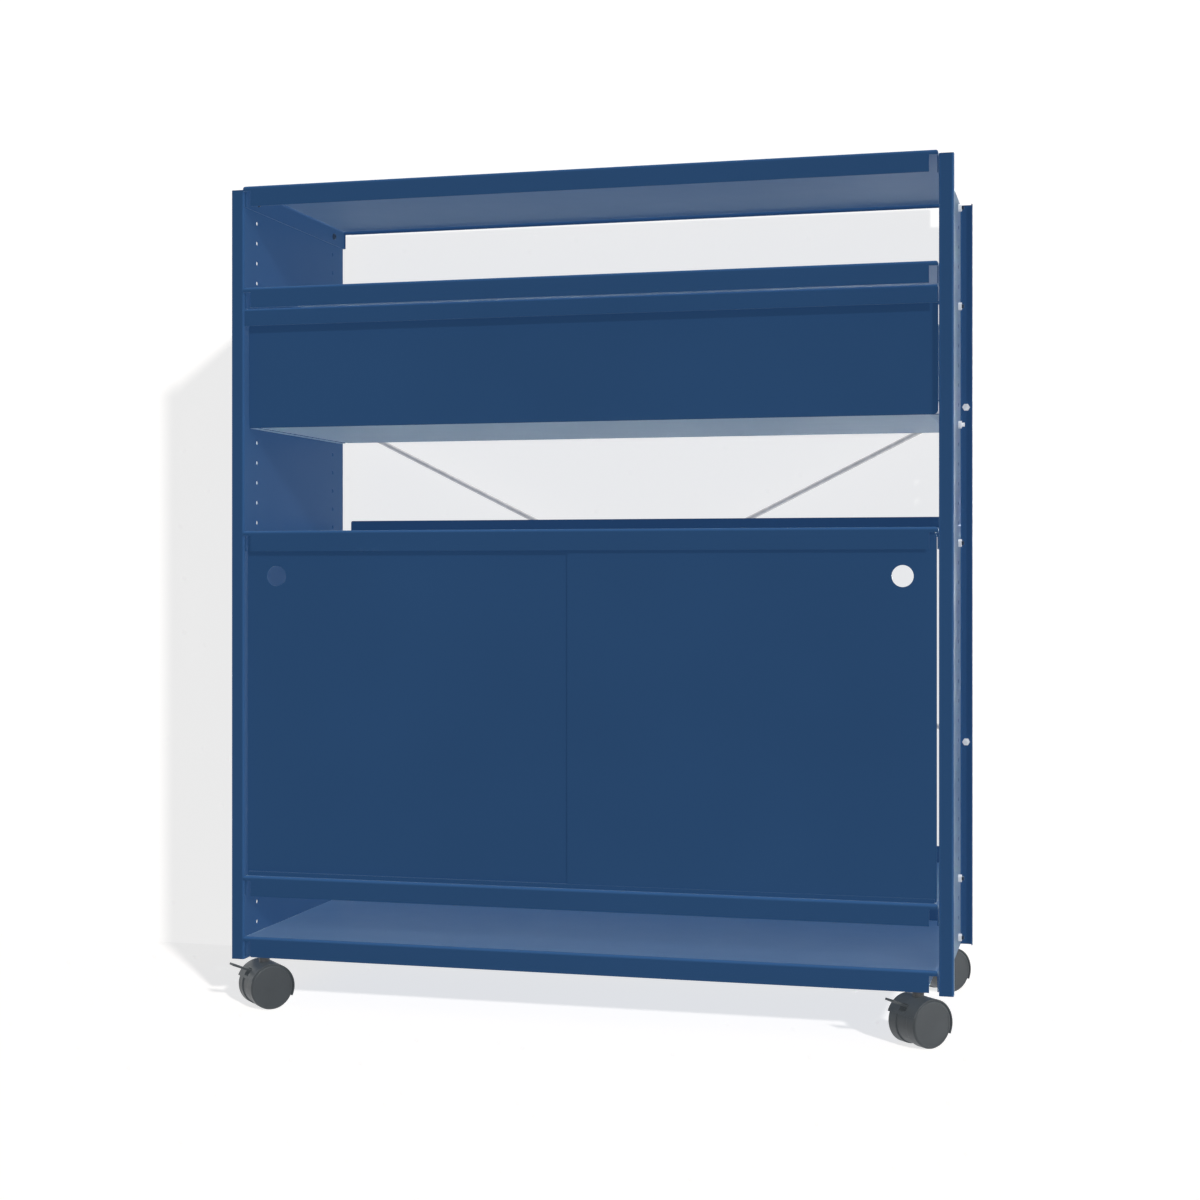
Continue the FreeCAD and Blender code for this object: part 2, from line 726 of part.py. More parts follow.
def castor_placement(x_sign, y_sign):
    """Where a castor's own frame stands, turned to its heading."""
    heading = number("castor_heading")
    turn = FreeCAD.Rotation(Z_AXIS, heading)
    pivot = FreeCAD.Vector(x_sign * number(f"{HALF} - castor_side"), y_sign * number(CASTOR_Y),
                           number(WHEEL_RADIUS))
    offset = turn.multVec(FreeCAD.Vector(number("castor_trail"), 0, 0))
    return FreeCAD.Placement(pivot.sub(offset), turn)


def castor_stem(label, placement):
    """Collar under the bearer, threaded stud above it and swivel pin below it."""
    body = new_body(label)
    seat = f"({BOSS_TOP} + seat_gap)"
    top = f"({BEARER_FOOT} - {WHEEL_RADIUS})"
    tip = f"({top} + bearer_sheet + big_nut_height + stud_past)"
    revolve(body, [("0", f"{seat} - pin_depth"), ("pin_size / 2", f"{seat} - pin_depth"),
                   ("pin_size / 2", seat), ("stem_size / 2", seat), ("stem_size / 2", top),
                   ("stud_size / 2", top), ("stud_size / 2", tip), ("0", tip)])
    shift = FreeCAD.Placement(FreeCAD.Vector(number("castor_trail"), 0, 0), FreeCAD.Rotation())
    body.Placement = placement.multiply(shift)
    keep(body, label)


def pie(label, radius, width):
    """Sector about the axle, from the hood's front edge over the top to its rear edge."""
    item = doc.addObject("Part::Cylinder", label)
    bind(item, "Radius", radius)
    bind(item, "Height", width)
    bind(item, "Angle", "hood_sweep")
    turn = FreeCAD.Rotation(X_AXIS, 90).multiply(FreeCAD.Rotation(Z_AXIS, number("hood_front")))
    item.Placement = FreeCAD.Placement(FreeCAD.Vector(0, number(width) / 2, 0), turn)
    return item


def pedal_slot(label):
    """Room for the pedal's arm, from its raised to its pressed place."""
    body = new_body(label)
    room = "(barrel_size / 2 + lever_clear)"
    half = "(lever_sheet / 2 + lever_clear)"
    low = "(lever_pitch - lever_swing)"
    raised = (f"hinge_ahead + lever_length * cos(lever_pitch) - {half} * sin(lever_pitch)",
              f"hinge_above + lever_length * sin(lever_pitch) + {half} * cos(lever_pitch)")
    pressed = (f"hinge_ahead + lever_length * cos({low}) + {half} * sin({low})",
               f"hinge_above + lever_length * sin({low}) - {half} * cos({low})")
    behind = f"hinge_ahead - {room}"
    under = f"hinge_above - {room}"
    over = f"hinge_above + {room}"
    side = new_sketch(body, "XZ_Plane")
    draw_outline(side, [(behind, under), (f"hinge_ahead + {room}", under), pressed, raised,
                        (f"hinge_ahead + {half}", over), (behind, over)])
    pad(body, side, "lever_width + 2 * lever_clear", both=True)
    return body


def castor_hood(label, placement, braked):
    """Body between the wheels with a hood over both treads."""
    shell = cut(f"{label}_shell", pie(f"{label}_outside", HOOD_OUTER, "castor_width"),
                [cylinder(f"{label}_inside", f"2 * {HOOD_INNER}", f"castor_width + 2 * {OVERSHOOT}",
                          ("0", "0", "0"), Y_AXIS)])
    middle = pie(f"{label}_middle", f"{HOOD_INNER} + hood_wall / 2", "body_width")
    disc = cylinder(f"{label}_disc", "body_size", "body_width", ("0", "0", "0"), Y_AXIS)
    boss = cylinder(f"{label}_boss", "stem_size", "pin_depth",
                    ("castor_trail", "0", f"{BOSS_TOP} - pin_depth / 2"), Z_AXIS)
    blank = fuse(f"{label}_blank", [shell, middle, disc, boss])
    bore_depth = "(pin_depth + seat_gap)"
    tools = [cylinder(f"{label}_axle_bore", "axle_size + 2 * press_clear", f"body_width + 2 * {OVERSHOOT}",
                      ("0", "0", "0"), Y_AXIS),
             cylinder(f"{label}_stem_bore", "pin_size + 2 * running_clear", f"2 * {bore_depth}",
                      ("castor_trail", "0", f"{BOSS_TOP} + seat_gap"), Z_AXIS)]
    if braked:
        hinge = ("hinge_ahead", "0", "hinge_above")
        tools.append(pedal_slot(f"{label}_slot"))
        tools.append(cylinder(f"{label}_pin_bore", "lever_pin + 2 * press_clear",
                              f"body_width + 2 * {OVERSHOOT}", hinge, Y_AXIS))
    item = cut(label, blank, tools)
    item.Placement = placement
    keep(item, label)


def castor_wheel(label, placement, sign):
    """Wheel with a closed outer face and a blind bore on its inner side."""
    body = new_body(label)
    width = "(castor_width / 2 - body_width / 2 - wheel_gap)"
    bore = "(axle_size / 2 + running_clear)"
    depth = f"({width} - axle_cover)"
    revolve(body, [(bore, "0"), (WHEEL_RADIUS, "0"), (WHEEL_RADIUS, width), ("disc_size / 2", width),
                   ("disc_size / 2", f"{width} - disc_recess"), ("0", f"{width} - disc_recess"),
                   ("0", depth), (bore, depth)])
    round_rings(body, [(WHEEL_RADIUS, width)], "wheel_edge")
    round_rings(body, [(WHEEL_RADIUS, "0")], "tread_edge")
    start = FreeCAD.Vector(0, sign * number("body_width / 2 + wheel_gap"), 0)
    facing = FreeCAD.Rotation(X_AXIS, -sign * 90)
    body.Placement = placement.multiply(FreeCAD.Placement(start, facing))
    keep(body, label)


def castor_axle(label, placement):
    """Axle through the body, ending inside both wheels."""
    length = "(castor_width - 2 * axle_cover - 2 * disc_recess)"
    item = cylinder(label, "axle_size", length, ("0", "0", "0"), Y_AXIS)
    item.Placement = placement.multiply(item.Placement)
    keep(item, label)


def brake_pedal(label, placement):
    """Flat arm on a barrel, flared into a pedal outside the hood."""
    body = new_body(label)
    neck = "(lever_length - pedal_length)"
    plan = new_sketch(body, "XY_Plane")
    draw_outline(plan, [
        ("0", "-lever_width / 2"), (neck, "-lever_width / 2"), (neck, "-pedal_width / 2"),
        ("lever_length", "-pedal_width / 2"), ("lever_length", "pedal_width / 2"),
        (neck, "pedal_width / 2"), (neck, "lever_width / 2"), ("0", "lever_width / 2")])
    pad(body, plan, "lever_sheet", both=True)
    barrel = new_sketch(body, "XZ_Plane")
    draw_circle(barrel, ("0", "0"), "barrel_size")
    pad(body, barrel, "lever_width", both=True)
    corners = [("lever_length", "-pedal_width / 2"), ("lever_length", "pedal_width / 2")]
    round_edges(body, straight_edges(body, 2, corners), "pedal_corner")
    bore = new_sketch(body, "XZ_Plane")
    draw_circle(bore, ("0", "0"), "lever_pin + 2 * running_clear")
    pocket(body, bore, f"lever_width + {OVERSHOOT}", both=True)
    hinge = FreeCAD.Vector(number("hinge_ahead"), 0, number("hinge_above"))
    tilt = FreeCAD.Rotation(Y_AXIS, -number("lever_pitch"))
    body.Placement = placement.multiply(FreeCAD.Placement(hinge, tilt))
    keep(body, label)


def pedal_pin(label, placement):
    """Pin on which a brake pedal turns."""
    item = cylinder(label, "lever_pin", "body_width - 2 * lever_clear", ("hinge_ahead", "0", "hinge_above"),
                    Y_AXIS)
    item.Placement = placement.multiply(item.Placement)
    keep(item, label)


# Fasteners, drawn with the head's seat at the origin and the head towards +Z

def screw_master(label, length, crown):
    """Low round headed screw with a hexagon socket."""
    body = new_body(label)
    revolve(body, [("0", f"-({length})"), ("screw_size / 2", f"-({length})"), ("screw_size / 2", "0"),
                   ("screw_head / 2", "0"), ("screw_head / 2", "crown_edge"),
                   ("crown_flat / 2", crown), ("0", crown)])
    socket = new_sketch(body, "XY_Plane", crown)
    draw_hexagon(socket, "socket_size")
    pocket(body, socket, "socket_depth")
    return body


def nut_master(label, across, height, bore):
    """Hexagon nut standing on the origin."""
    body = new_body(label)
    plan = new_sketch(body, "XY_Plane")
    draw_hexagon(plan, across)
    draw_circle(plan, ("0", "0"), f"{bore} + 2 * press_clear")
    pad(body, plan, height)
    return body


def spot(x, y, z, facing):
    """Placement whose Z axis faces a direction."""
    return FreeCAD.Placement(FreeCAD.Vector(x, y, z), FreeCAD.Rotation(Z_AXIS, facing))


def web_spots(rows, depth, inwards):
    """Places on both webs at both columns of the rows, a depth inside the web's inner face."""
    places = []
    for row in rows:
        for sign in (-1, 1):
            for column in (-1, 1):
                facing = FreeCAD.Vector(-sign if inwards else sign, 0, 0)
                x = sign * (number(HALF) - number(depth))
                places.append(spot(x, column * number(COLUMN), number(row_height(row)), facing))
    return places


def brace_spots(layer, y, facing):
    """Places at the two ends of a brace rod."""
    middle = number("panel_lift + panel_height / 2")
    side = number(BRACE_SPAN) / 2
    rise = number("brace_rise") / 2
    lean = 1 if layer == 0 else -1
    return [spot(way * side, number(y), middle + way * lean * rise, facing) for way in (-1, 1)]


def fasteners():
    """Screws and nuts, each kind as one group."""
    rows = [row for name, row in SHELVES]
    screw = screw_master("shelf_screw_master", "screw_length", "screw_crown")
    group("shelf_screws", [(screw, at) for at in web_spots(rows, "shelf_gap + shelf_sheet", True)])
    flat_screw = screw_master("runner_screw_master", "screw_length", "flat_crown")
    places = web_spots([RUNNER_ROW], "runner_sheet", True)
    group("runner_screws", [(flat_screw, at) for at in places])
    nut = nut_master("nut_master", "nut_size", "nut_height", "screw_size")
    places = web_spots(rows + [RUNNER_ROW], "-panel_sheet", False)
    group("web_nuts", [(nut, at) for at in places])

    screws = []
    nuts = []
    for layer in (0, 1):
        eye = f"({layer} * {ROD_STEP} + {ROD_STEP})"
        length = f"{eye} + panel_sheet + nut_height + thread_past"
        screw = screw_master(f"brace_screw_master_{layer}", length, "screw_crown")
        screws += [(screw, at) for at in brace_spots(layer, f"{REAR} + {eye}", Y_AXIS)]
        nuts += [(nut, at) for at in brace_spots(layer, f"{REAR} - panel_sheet", -Y_AXIS)]
    group("brace_screws", screws)
    group("brace_nuts", nuts)

    big_nut = nut_master("castor_nut_master", "big_nut_size", "big_nut_height", "stud_size")
    height = number(f"{BEARER_FOOT} + bearer_sheet")
    side = number(f"{HALF} - castor_side")
    depth = number(CASTOR_Y)
    group("castor_nuts", [(big_nut, spot(x * side, y * depth, height, Z_AXIS))
                          for x in (-1, 1) for y in (-1, 1)])


# The whole object

for side, sign, turn in SIDES:
    side_panel(side, sign, turn)
for name, row in SHELVES:
    shelf(name, row)
    rear_rail(name, row)
door("right", 1, DOOR_FACE)
door("left", -1, f"{DOOR_FACE} + door_spacing")
place(door_track("door_sill_track", "sill_rise", 1), z=shelf_top(FLOOR_ROW))
place(door_track("door_head_track", "head_drop", -1), z=f"{shelf_top(CABINET_ROW)} - shelf_sheet")
drawer_front()
drawer_tray()
for side, sign, turn in SIDES:
    runners(side, sign, turn)
    bearer(side, sign)
brace_rod("brace_rod_rising", 1, 0)
brace_rod("brace_rod_falling", -1, 1)
for end, y_sign in (("front", -1), ("rear", 1)):
    for side, x_sign, turn in SIDES:
        corner = f"{end}_{side}"
        stand = castor_placement(x_sign, y_sign)
        castor_stem(f"castor_stem_{corner}", stand)
        castor_hood(f"castor_hood_{corner}", stand, end == "front")
        castor_axle(f"castor_axle_{corner}", stand)
        castor_wheel(f"castor_wheel_{corner}_outer", stand, 1)
        castor_wheel(f"castor_wheel_{corner}_inner", stand, -1)
        if end == "front":
            brake_pedal(f"brake_pedal_{side}", stand)
            pedal_pin(f"pedal_pin_{side}", stand)
fasteners()
doc.recompute()

# Nothing is written unless every object came out well

for item in doc.Objects:
    if "Invalid" in item.State or "Error" in item.State:
        raise RuntimeError(f"{item.Label} failed: {item.State}")
for item in subparts:
    if item.Shape.isNull() or not item.Shape.isValid():
        raise RuntimeError(f"{item.Label} has no valid shape")

os.makedirs("parts", exist_ok=True)
for item in subparts:
    item.Shape.exportStep(f"parts/{item.Label}.step")
print(f"{len(subparts)} sub-parts written")
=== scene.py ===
import bpy
import math
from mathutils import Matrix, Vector


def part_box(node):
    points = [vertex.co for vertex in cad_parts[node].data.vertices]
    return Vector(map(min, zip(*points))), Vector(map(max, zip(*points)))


bl_info = {
    "name": "Highboard on castors",
    "version": (1, 0, 0),
    "blender": (4, 5, 0),
    "location": "View3D > Sidebar > Highboard",
    "description": "Finishes and stage for a sheet steel highboard on castors",
    "category": "Object",
}

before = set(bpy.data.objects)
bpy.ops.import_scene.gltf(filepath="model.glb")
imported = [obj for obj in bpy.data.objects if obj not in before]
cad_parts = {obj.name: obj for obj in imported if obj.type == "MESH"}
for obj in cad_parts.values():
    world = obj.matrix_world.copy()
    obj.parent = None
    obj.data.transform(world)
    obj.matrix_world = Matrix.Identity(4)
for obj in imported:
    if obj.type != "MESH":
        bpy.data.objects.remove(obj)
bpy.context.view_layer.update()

# How the names of the frame's nodes start, by finish.
PAINTED = ("side_panel", "shelf_top", "shelf_drawer", "shelf_cabinet", "shelf_bottom", "rail_",
           "door_", "drawer_", "castor_bearer", "runner_outer")
PLASTIC = ("castor_hood", "castor_wheel", "brake_pedal")
BARE_RODS = ("brace_rod",)
DARK_SCREWS = ("shelf_screws",)
STEMS = ("castor_stem", "castor_nuts")
ZINC = ("runner_middle", "runner_inner", "runner_screws", "web_nuts", "brace_nuts", "brace_screws",
        "castor_axle", "pedal_pin")

# How far each finish drifts about its mean colour and roughness, and how it is roughened.
# Scales are in bumps per metre, and depths in metres.
POWDER_GRAIN = dict(colour_spread=0.03, colour_scale=3.0, roughness_spread=0.03, roughness_scale=25.0,
                    bump_scale=650.0, bump_detail=2.0, bump_strength=0.025, bump_depth=0.0003)
PLASTIC_GRAIN = dict(colour_spread=0.06, colour_scale=40.0, roughness_spread=0.05, roughness_scale=120.0,
                     bump_scale=1800.0, bump_detail=3.0, bump_strength=0.15, bump_depth=0.0002)
STEEL_GRAIN = dict(colour_spread=0.08, colour_scale=90.0, roughness_spread=0.08, roughness_scale=160.0,
                   bump_scale=900.0, bump_detail=2.0, bump_strength=0.08, bump_depth=0.0002)
# A drift runs from one of these values of the noise to the other, and is held beyond them.
NOISE_LOW, NOISE_HIGH = 0.3, 0.7

# The coat hardly mirrors, and its sheen whitens it at a grazing angle.
COAT_SPECULAR = 0.003
COAT_SHEEN = 0.8
COAT_SHEEN_TINT = (0.76, 0.93, 1.0, 1)
COAT_SHEEN_ROUGHNESS = 0.25
SCREW_ROUGHNESS = 0.4
PLASTIC_SPECULAR = 0.35
PLASTIC_ROUGHNESS = 0.42
ZINC_ROUGHNESS, ZINC_METALLIC = 0.35, 0.5
ROD_ROUGHNESS, ROD_METALLIC = 0.5, 0.45
STEM_ROUGHNESS, STEM_METALLIC = 0.45, 0.5

# What the floor and the wall show in full shadow, and how much of the light they add to that.
FLOOR_GLOW, FLOOR_ALBEDO = 0.72, (0.53, 0.50, 0.475)
WALL_GLOW, WALL_ALBEDO = 0.79, (0.30, 0.285, 0.27)
# Each fill light's share of the fill strength, and the way that it travels.
FILLS = {"up": (1.52, (0, 0, 1)), "down": (2.3, (0, 0, -1)), "back": (1.18, (0, 1, 0)),
         "forth": (1.0, (0, -1, 0)), "left": (1.6, (-1, 0, 0)), "right": (1.0, (1, 0, 0))}
SIDE_TRAVEL = (-1, 0, 0)
RIM_TRAVEL = (-0.07, -1, 0.03)
LAMP_PLACE = (2.0, -3.0, 3.0)
WHITE = (1, 1, 1, 1)
QUARTER_TURN = math.radians(90)
SENSOR_WIDTH = 36.0


class HighboardFinish(bpy.types.PropertyGroup):
    """Colours and gloss of the highboard's surfaces."""
    paint_colour: bpy.props.FloatVectorProperty(
        name="Paint", description="Colour of the powder coat", subtype="COLOR", size=3,
        min=0.0, max=1.0, default=(0.0215, 0.0620, 0.148))
    paint_roughness: bpy.props.FloatProperty(
        name="Paint roughness", description="Mean roughness of the powder coat",
        min=0.0, max=1.0, subtype="FACTOR", default=0.4)
    plastic_colour: bpy.props.FloatVectorProperty(
        name="Castor plastic", description="Colour of the moulded castors", subtype="COLOR", size=3,
        min=0.0, max=1.0, default=(0.032, 0.037, 0.041))
    zinc_colour: bpy.props.FloatVectorProperty(
        name="Zinc", description="Colour of the plated nuts, pins and runners", subtype="COLOR", size=3,
        min=0.0, max=1.0, default=(0.75, 0.76, 0.77))
    rod_colour: bpy.props.FloatVectorProperty(
        name="Brace rods", description="Colour of the bare steel rods", subtype="COLOR", size=3,
        min=0.0, max=1.0, default=(0.54, 0.53, 0.52))
    # The stems and their nuts have a dark plating, and their colour is made darker still as painted
    # shade from the bottom shelf above them, which the shadowless fills leave out.
    stem_colour_and_shade: bpy.props.FloatVectorProperty(
        name="Castor stems", description="Colour of the dark plated stems and their nuts",
        subtype="COLOR", size=3, min=0.0, max=1.0, default=(0.06, 0.062, 0.065))
    screw_colour: bpy.props.FloatVectorProperty(
        name="Shelf screws", description="Colour of the dark screws inside the shelf ends",
        subtype="COLOR", size=3, min=0.0, max=1.0, default=(0.015, 0.025, 0.045))


class HighboardStage(bpy.types.PropertyGroup):
    """Floor, wall, light and camera."""
    wall_gap: bpy.props.FloatProperty(
        name="Wall gap", description="Distance from the rear of the panels to the wall", unit="LENGTH",
        default=0.044)
    stage_size: bpy.props.FloatProperty(
        name="Stage size", description="Half width of the floor and of the wall", unit="LENGTH",
        default=9.0)
    sky_strength: bpy.props.FloatProperty(
        name="Sky", description="Strength of the even light from all around", min=0.0, default=0.15)
    fill_strength: bpy.props.FloatProperty(
        name="Fill", description="Strength that the six shadowless fill lights take their shares of",
        min=0.0, default=1.7)
    sun_strength: bpy.props.FloatProperty(
        name="Key light", description="Strength of the key light", min=0.0, default=0.8)
    side_strength: bpy.props.FloatProperty(
        name="Side light", description="Strength of the light from the right", min=0.0, default=0.8)
    rim_strength: bpy.props.FloatProperty(
        name="Rim light", description="Strength of the light that grazes the sheets from behind",
        min=0.0, default=1.0)
    rim_angle: bpy.props.FloatProperty(
        name="Rim size", description="Apparent size of the rim light", subtype="ANGLE",
        default=math.radians(24))
    cast_strength: bpy.props.FloatProperty(
        name="Cast light", description="Strength of the light that casts the shadow on floor and wall",
        min=0.0, default=3.4)
    sun_angle: bpy.props.FloatProperty(
        name="Key size", description="Apparent size of the key, cast and side lights", subtype="ANGLE",
        default=math.radians(3))
    sun_travel: bpy.props.FloatVectorProperty(
        name="Key direction", description="Way that the key and cast lights travel",
        subtype="DIRECTION", size=3, default=(-0.765, 1.0, -0.57))
    camera_place: bpy.props.FloatVectorProperty(
        name="Camera", description="Place of the camera", subtype="TRANSLATION", size=3,
        default=(0.7274, -2.8737, 0.6402))
    camera_turn: bpy.props.FloatProperty(
        name="Camera turn", description="Turn of the camera about the vertical", subtype="ANGLE",
        default=math.radians(14.476))
    camera_lens: bpy.props.FloatProperty(
        name="Lens", description="Focal length on a 36 mm sensor", default=58.76)
    camera_drop: bpy.props.FloatProperty(
        name="Drop", description="Downward shift of the picture frame", default=-0.0213)


def new_material(name):
    """Plain material, with its node tree, its shader and a function that adds nodes to it."""
    material = bpy.data.materials.new(name)
    material.use_nodes = True
    tree = material.node_tree
    shader = tree.nodes["Principled BSDF"]

    def add(kind, **inputs):
        node = tree.nodes.new(kind)
        for key, value in inputs.items():
            node.inputs[key].default_value = value
        return node
    return material, tree, shader, add


def noise(tree, add, scale, detail=2.0):
    """Noise on the object's own coordinates, with scale in bumps per metre."""
    place = add("ShaderNodeTexCoord")
    texture = add("ShaderNodeTexNoise", Scale=scale, Detail=detail)
    tree.links.new(place.outputs["Object"], texture.inputs["Vector"])
    return texture.outputs["Fac"]


def vary_colour(tree, add, shader, colour, spread, scale):
    """Let the colour drift a little darker and lighter over the surface."""
    ramp = add("ShaderNodeValToRGB")
    dark, light = ramp.color_ramp.elements
    dark.position, light.position = NOISE_LOW, NOISE_HIGH
    dark.color = [c * (1 - spread) for c in colour] + [1]
    light.color = [c * (1 + spread) for c in colour] + [1]
    tree.links.new(noise(tree, add, scale), ramp.inputs["Fac"])
    tree.links.new(ramp.outputs["Color"], shader.inputs["Base Color"])


def vary_roughness(tree, add, shader, roughness, spread, scale):
    """Let the roughness drift about its mean."""
    reach = add("ShaderNodeMapRange")
    reach.inputs["From Min"].default_value = NOISE_LOW
    reach.inputs["From Max"].default_value = NOISE_HIGH
    reach.inputs["To Min"].default_value = roughness - spread
    reach.inputs["To Max"].default_value = roughness + spread
    tree.links.new(noise(tree, add, scale), reach.inputs["Value"])
    tree.links.new(reach.outputs["Result"], shader.inputs["Roughness"])


def add_bump(tree, add, shader, height, strength, depth):
    """Press a height pattern into the surface."""
    bump = add("ShaderNodeBump", Strength=strength, Distance=depth)
    tree.links.new(height, bump.inputs["Height"])
    tree.links.new(bump.outputs["Normal"], shader.inputs["Normal"])


def grained_material(name, colour, roughness, *, colour_spread, colour_scale, roughness_spread,
                     roughness_scale, bump_scale, bump_detail, bump_strength, bump_depth):
    """Material whose colour, roughness and surface follow a grain, with its shader."""
    material, tree, shader, add = new_material(name)
    vary_colour(tree, add, shader, colour, colour_spread, colour_scale)
    vary_roughness(tree, add, shader, roughness, roughness_spread, roughness_scale)
    height = noise(tree, add, bump_scale, bump_detail)
    add_bump(tree, add, shader, height, bump_strength, bump_depth)
    return material, shader


def powder_coat(name, colour, roughness):
    """Smooth satin powder coat with a fine orange peel."""
    material, shader = grained_material(name, colour, roughness, **POWDER_GRAIN)
    shader.inputs["Specular IOR Level"].default_value = COAT_SPECULAR
    shader.inputs["Sheen Weight"].default_value = COAT_SHEEN
    shader.inputs["Sheen Tint"].default_value = COAT_SHEEN_TINT
    shader.inputs["Sheen Roughness"].default_value = COAT_SHEEN_ROUGHNESS
    return material


def moulded_plastic(name, colour):
    """Matt moulded plastic with a fine grain."""
    material, shader = grained_material(name, colour, PLASTIC_ROUGHNESS, **PLASTIC_GRAIN)
    shader.inputs["Specular IOR Level"].default_value = PLASTIC_SPECULAR
    return material


def cloudy_steel(name, colour, roughness, metallic):
    """Plated or bare steel with a cloudy sheen."""
    material, shader = grained_material(name, colour, roughness, **STEEL_GRAIN)
    shader.inputs["Metallic"].default_value = metallic
    return material


def nodes_named(prefixes):
    """The frame's nodes whose names start with one of the words."""
    return [item for name, item in sorted(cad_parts.items()) if name.startswith(prefixes)]


def wear(items, material):
    """Give objects one material."""
    for item in items:
        item.data.materials.clear()
        item.data.materials.append(material)


class HIGHBOARD_OT_paint_sheets(bpy.types.Operator):
    """Powder coat the folded sheets"""
    bl_idname = "highboard.paint_sheets"
    bl_label = "Paint the sheets"

    def execute(self, context):
        finish = context.scene.highboard_finish
        coat = powder_coat("blue_powder_coat", finish.paint_colour, finish.paint_roughness)
        wear(nodes_named(PAINTED), coat)
        return {"FINISHED"}


class HIGHBOARD_OT_finish_castors(bpy.types.Operator):
    """Give the castors their moulded plastic"""
    bl_idname = "highboard.finish_castors"
    bl_label = "Finish the castors"

    def execute(self, context):
        finish = context.scene.highboard_finish
        wear(nodes_named(PLASTIC), moulded_plastic("castor_plastic", finish.plastic_colour))
        return {"FINISHED"}


class HIGHBOARD_OT_finish_hardware(bpy.types.Operator):
    """Plate the nuts, stems and runners, and finish the rods and screws"""
    bl_idname = "highboard.finish_hardware"
    bl_label = "Finish the hardware"

    def execute(self, context):
        finish = context.scene.highboard_finish
        zinc = cloudy_steel("zinc_plate", finish.zinc_colour, ZINC_ROUGHNESS, ZINC_METALLIC)
        wear(nodes_named(ZINC), zinc)
        rods = cloudy_steel("brace_rod_steel", finish.rod_colour, ROD_ROUGHNESS, ROD_METALLIC)
        wear(nodes_named(BARE_RODS), rods)
        # Dark plating on the stems and nuts, darkened further as painted shade from the bottom shelf
        # above.
        stems = cloudy_steel("stem_steel_painted_shade", finish.stem_colour_and_shade, STEM_ROUGHNESS, STEM_METALLIC)
        wear(nodes_named(STEMS), stems)
        screws = powder_coat("dark_screw_coat", finish.screw_colour, SCREW_ROUGHNESS)
        wear(nodes_named(DARK_SCREWS), screws)
        return {"FINISHED"}


def seen_directly(tree):
    """1 where the eye meets a surface directly, in a reflection or through glass."""
    path = tree.nodes.new("ShaderNodeLightPath")
    total = path.outputs["Is Camera Ray"]
    for name in ("Is Glossy Ray", "Is Transmission Ray"):
        larger = tree.nodes.new("ShaderNodeMath")
        larger.operation = "MAXIMUM"
        tree.links.new(total, larger.inputs[0])
        tree.links.new(path.outputs[name], larger.inputs[1])
        total = larger.outputs[0]
    return total


def backdrop_material(name, glow, albedo, one_sided):
    """White surface that shows soft shadows without lighting the object."""
    material = bpy.data.materials.new(name)
    material.use_nodes = True
    tree = material.node_tree
    tree.nodes.clear()
    output = tree.nodes.new("ShaderNodeOutputMaterial")
    diffuse = tree.nodes.new("ShaderNodeBsdfDiffuse")
    diffuse.inputs["Color"].default_value = (*albedo, 1)
    emission = tree.nodes.new("ShaderNodeEmission")
    strength = tree.nodes.new("ShaderNodeMath")
    strength.operation = "MULTIPLY"
    strength.inputs[1].default_value = glow
    tree.links.new(seen_directly(tree), strength.inputs[0])
    tree.links.new(strength.outputs[0], emission.inputs["Strength"])
    both = tree.nodes.new("ShaderNodeAddShader")
    tree.links.new(diffuse.outputs[0], both.inputs[0])
    tree.links.new(emission.outputs[0], both.inputs[1])
    surface = both.outputs[0]
    if one_sided:
        geometry = tree.nodes.new("ShaderNodeNewGeometry")
        clear = tree.nodes.new("ShaderNodeBsdfTransparent")
        mix = tree.nodes.new("ShaderNodeMixShader")
        tree.links.new(geometry.outputs["Backfacing"], mix.inputs[0])
        tree.links.new(surface, mix.inputs[1])
        tree.links.new(clear.outputs[0], mix.inputs[2])
        surface = mix.outputs[0]
    tree.links.new(surface, output.inputs["Surface"])
    return material


def add_backdrop(stage):
    """Floor under the castors, and a wall that is clear from behind."""
    size = stage.stage_size
    bpy.ops.object.select_all(action="DESELECT")
    bpy.ops.mesh.primitive_plane_add(size=2 * size)
    floor = bpy.context.object
    floor.name = "stage_floor"
    wear([floor], backdrop_material("stage_floor_white", FLOOR_GLOW, FLOOR_ALBEDO, one_sided=False))
    floor.visible_diffuse = False
    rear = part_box("side_panel_left")[1].y
    bpy.ops.mesh.primitive_plane_add(size=2 * size, location=(0, rear + stage.wall_gap, size),
                                     rotation=(QUARTER_TURN, 0, 0))
    wall = bpy.context.object
    wall.name = "stage_wall"
    wear([wall], backdrop_material("stage_wall_white", WALL_GLOW, WALL_ALBEDO, one_sided=True))
    wall.visible_diffuse = False
    wall.visible_glossy = False
    wall.visible_transmission = False
    wall.visible_shadow = False
    return floor, wall


def add_sky(strength):
    """Even light from all around, from a world that looks white."""
    world = bpy.data.worlds.new("stage_sky")
    bpy.context.scene.world = world
    world.use_nodes = True
    tree = world.node_tree
    tree.nodes.clear()
    light = tree.nodes.new("ShaderNodeBackground")
    light.inputs["Strength"].default_value = strength
    white = tree.nodes.new("ShaderNodeBackground")
    mix = tree.nodes.new("ShaderNodeMixShader")
    output = tree.nodes.new("ShaderNodeOutputWorld")
    for background in (light, white):
        background.inputs["Color"].default_value = WHITE
    tree.links.new(seen_directly(tree), mix.inputs[0])
    tree.links.new(light.outputs[0], mix.inputs[1])
    tree.links.new(white.outputs[0], mix.inputs[2])
    tree.links.new(mix.outputs[0], output.inputs["Surface"])


def add_sun(name, strength, travel):
    """Distant lamp whose light travels one way."""
    bpy.ops.object.light_add(type="SUN", location=LAMP_PLACE)
    lamp = bpy.context.object
    lamp.name = name
    lamp.data.energy = strength
    lamp.rotation_euler = Vector(travel).to_track_quat("-Z", "Y").to_euler()
    return lamp


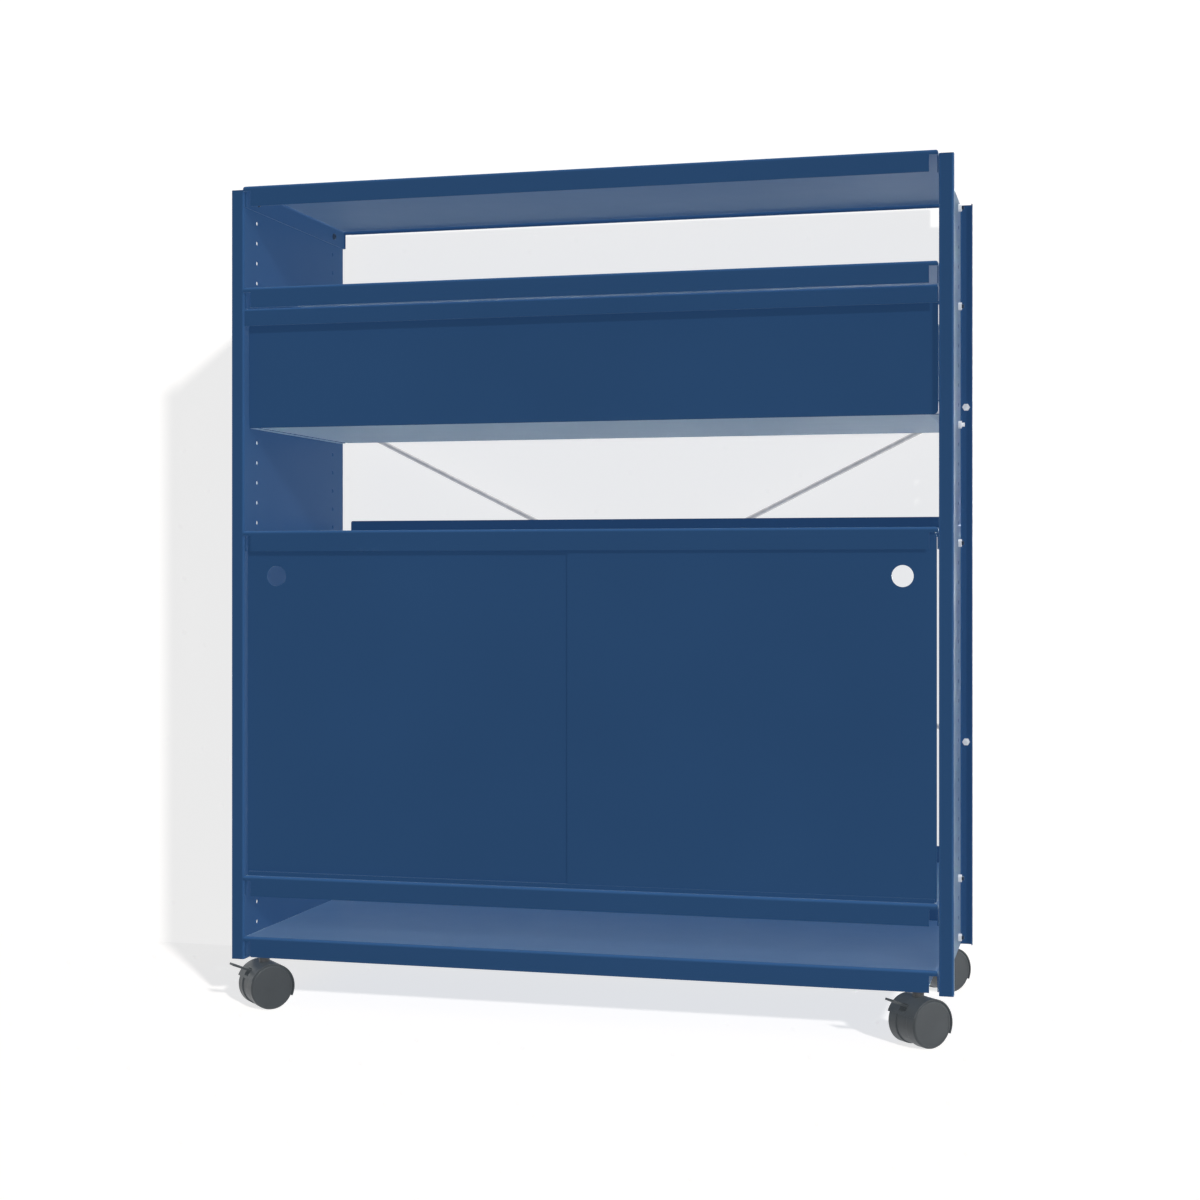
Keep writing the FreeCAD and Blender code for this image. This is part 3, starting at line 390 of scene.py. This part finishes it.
def limit_light(lamp, items, state):
    """Let a lamp light only some objects, or all but them."""
    group = bpy.data.collections.new(f"{lamp.name}_receivers")
    for item in items:
        group.objects.link(item)
    for row in group.collection_objects:
        row.light_linking.link_state = state
    lamp.light_linking.receiver_collection = group


def add_lamps(stage, backdrop):
    """Key, fill, side and rim lights on the object, and a cast light on the backdrop."""
    key = add_sun("stage_key_light", stage.sun_strength, stage.sun_travel)
    key.data.angle = stage.sun_angle
    limit_light(key, backdrop, "EXCLUDE")
    cast = add_sun("stage_cast_light", stage.cast_strength, stage.sun_travel)
    cast.data.angle = stage.sun_angle
    limit_light(cast, backdrop, "INCLUDE")
    # The fills stand for light that a pale room throws back into every bay.
    for name, (share, travel) in FILLS.items():
        fill = add_sun(f"stage_fill_{name}", share * stage.fill_strength, travel)
        fill.data.use_shadow = False
        fill.visible_glossy = False
        limit_light(fill, backdrop, "EXCLUDE")
    side = add_sun("stage_side_light", stage.side_strength, SIDE_TRAVEL)
    side.data.angle = stage.sun_angle
    # The rim light brings out the coat's sheen where a sheet is seen at a grazing angle.
    rim = add_sun("stage_rim_light", stage.rim_strength, RIM_TRAVEL)
    rim.data.angle = stage.rim_angle
    rim.data.use_shadow = False
    limit_light(rim, backdrop, "EXCLUDE")


def add_camera(stage):
    """Level camera at the photograph's viewing angle."""
    bpy.ops.object.camera_add(location=stage.camera_place,
                              rotation=(QUARTER_TURN, 0, stage.camera_turn))
    camera = bpy.context.object
    camera.name = "stage_camera"
    camera.data.sensor_width = SENSOR_WIDTH
    camera.data.lens = stage.camera_lens
    camera.data.shift_y = stage.camera_drop
    bpy.context.scene.camera = camera


class HIGHBOARD_OT_set_stage(bpy.types.Operator):
    """Set up the floor, the wall, the light and the camera"""
    bl_idname = "highboard.set_stage"
    bl_label = "Set the stage"

    def execute(self, context):
        stage = context.scene.highboard_stage
        backdrop = add_backdrop(stage)
        add_sky(stage.sky_strength)
        add_lamps(stage, backdrop)
        add_camera(stage)
        context.scene.view_settings.view_transform = "Standard"
        return {"FINISHED"}


STEPS = (HIGHBOARD_OT_paint_sheets, HIGHBOARD_OT_finish_castors, HIGHBOARD_OT_finish_hardware,
         HIGHBOARD_OT_set_stage)


class HIGHBOARD_PT_sidebar(bpy.types.Panel):
    """Buttons of the highboard in the 3D view's sidebar"""
    bl_label = "Highboard"
    bl_idname = "HIGHBOARD_PT_sidebar"
    bl_space_type = "VIEW_3D"
    bl_region_type = "UI"
    bl_category = "Highboard"

    def draw(self, context):
        for group in (context.scene.highboard_finish, context.scene.highboard_stage):
            for name in group.__annotations__:
                self.layout.prop(group, name)
        for step in STEPS:
            self.layout.operator(step.bl_idname)


CLASSES = (HighboardFinish, HighboardStage) + STEPS + (HIGHBOARD_PT_sidebar,)


def register():
    for item in CLASSES:
        bpy.utils.register_class(item)
    bpy.types.Scene.highboard_finish = bpy.props.PointerProperty(type=HighboardFinish)
    bpy.types.Scene.highboard_stage = bpy.props.PointerProperty(type=HighboardStage)


def unregister():
    del bpy.types.Scene.highboard_stage
    del bpy.types.Scene.highboard_finish
    for item in reversed(CLASSES):
        bpy.utils.unregister_class(item)


def main():
    register()
    bpy.ops.highboard.paint_sheets()
    bpy.ops.highboard.finish_castors()
    bpy.ops.highboard.finish_hardware()
    bpy.ops.highboard.set_stage()


if __name__ == "__main__":
    main()
